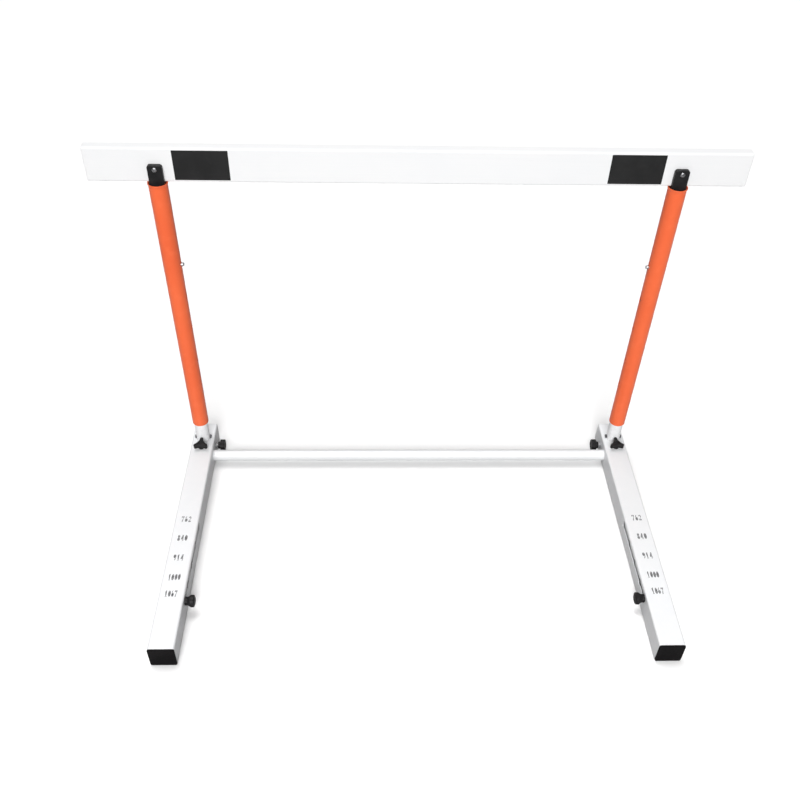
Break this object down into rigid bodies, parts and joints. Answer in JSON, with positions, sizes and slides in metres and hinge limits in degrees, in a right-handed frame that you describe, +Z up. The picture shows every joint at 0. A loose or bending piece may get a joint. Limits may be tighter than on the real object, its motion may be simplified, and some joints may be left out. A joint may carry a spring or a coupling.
{
  "type": "athletics hurdle",
  "caption": "Track hurdle with a white crossbar on telescoping orange uprights, square tube feet, a cross tube, and counterweights that slide in the feet.",
  "frame": {"origin": "on the floor, under the centre of the whole object's box at the lowest setting", "axes": "+X along the crossbar, +Z up, -Y towards the long ends of the feet, the side an athlete comes from"},
  "size_m": [1.2, 0.602, 0.762],
  "materials": {
    "white_coat": "satin white powder coat on steel tube",
    "orange_coat": "satin orange powder coat on steel tube",
    "bar_white": "smooth white extruded plastic",
    "band_black": "matt black film",
    "cap_black": "moulded black plastic, fine texture",
    "plug_black": "moulded black plastic, slight sheen",
    "knob_black": "moulded black plastic, slight sheen",
    "glide_plastic": "natural moulded plastic",
    "zinc_steel": "bright zinc plate",
    "pin_steel": "dark oiled steel",
    "spring_steel": "bright spring steel",
    "cast_weight": "painted cast iron"
  },
  "bodies": {
    "base": {"left_foot_tube": "white_coat", "right_foot_tube": "white_coat", "front_foot_caps": "cap_black", "rear_foot_caps": "cap_black", "cross_tube": "white_coat", "left_inner_upright": "white_coat", "right_inner_upright": "white_coat", "upright_stop_pins": "pin_steel", "inner_upright_glides": "glide_plastic", "snap_springs": "spring_steel", "upright_clamp_nuts": "zinc_steel", "cross_clamp_nuts": "zinc_steel"},
    "bar_frame": {"left_outer_upright": "orange_coat", "right_outer_upright": "orange_coat", "outer_upright_bushings": "glide_plastic", "left_top_plug": "plug_black", "right_top_plug": "plug_black", "crossbar": "bar_white", "crossbar_end_caps": "bar_white", "crossbar_bands": "band_black", "bar_bolts": "zinc_steel", "bar_sleeves": "zinc_steel", "bar_washers": "zinc_steel", "bar_lock_nuts": "zinc_steel"},
    "left_button": {"left_snap_button": "zinc_steel"},
    "left_weight": {"left_counterweight": "cast_weight"},
    "left_weight_grip": {"left_weight_knob": "knob_black", "left_weight_screw": "zinc_steel"},
    "left_upright_clamp": {"left_upright_clamp_knob": "knob_black", "left_upright_clamp_screw": "zinc_steel"},
    "left_cross_clamp": {"left_cross_clamp_knob": "knob_black", "left_cross_clamp_screw": "zinc_steel"},
    "right_button": {"right_snap_button": "zinc_steel"},
    "right_weight": {"right_counterweight": "cast_weight"},
    "right_weight_grip": {"right_weight_knob": "knob_black", "right_weight_screw": "zinc_steel"},
    "right_upright_clamp": {"right_upright_clamp_knob": "knob_black", "right_upright_clamp_screw": "zinc_steel"},
    "right_cross_clamp": {"right_cross_clamp_knob": "knob_black", "right_cross_clamp_screw": "zinc_steel"}
  },
  "joints": [
    {"name": "height_slide", "type": "slide", "parent": "base", "child": "bar_frame", "axis": [0, 0, 1], "range_m": [0, 0.305], "deforming": ["left_snap_button", "right_snap_button", "snap_springs"]},
    {"name": "left_button_press", "type": "slide", "parent": "base", "child": "left_button", "axis": [-1, 0, 0], "range_m": [0, 0.0072], "stiffness_N_per_m": 1500, "springref_m": -0.002, "deforming": ["snap_springs"]},
    {"name": "left_weight_slide", "type": "slide", "parent": "base", "child": "left_weight", "axis": [0, 1, 0], "range_m": [0, 0.187]},
    {"name": "left_weight_knob_turn", "type": "hinge", "parent": "left_weight", "child": "left_weight_grip", "pos_m": [-0.45, -0.183, 0.035], "axis": [1, 0, 0], "range_deg": [0, 900]},
    {"name": "left_upright_clamp_turn", "type": "hinge", "parent": "base", "child": "left_upright_clamp", "pos_m": [-0.45, 0.255, 0.025], "axis": [1, 0, 0], "range_deg": [0, 900]},
    {"name": "left_cross_clamp_turn", "type": "hinge", "parent": "base", "child": "left_cross_clamp", "pos_m": [-0.475, 0.222, 0.05], "axis": [0, 0, 1], "range_deg": [0, 900]},
    {"name": "right_button_press", "type": "slide", "parent": "base", "child": "right_button", "axis": [1, 0, 0], "range_m": [0, 0.0072], "stiffness_N_per_m": 1500, "springref_m": -0.002, "deforming": ["snap_springs"]},
    {"name": "right_weight_slide", "type": "slide", "parent": "base", "child": "right_weight", "axis": [0, 1, 0], "range_m": [0, 0.187]},
    {"name": "right_weight_knob_turn", "type": "hinge", "parent": "right_weight", "child": "right_weight_grip", "pos_m": [0.45, -0.183, 0.035], "axis": [-1, 0, 0], "range_deg": [0, 900]},
    {"name": "right_upright_clamp_turn", "type": "hinge", "parent": "base", "child": "right_upright_clamp", "pos_m": [0.45, 0.255, 0.025], "axis": [-1, 0, 0], "range_deg": [0, 900]},
    {"name": "right_cross_clamp_turn", "type": "hinge", "parent": "base", "child": "right_cross_clamp", "pos_m": [0.475, 0.222, 0.05], "axis": [0, 0, 1], "range_deg": [0, 900]}
  ]
}
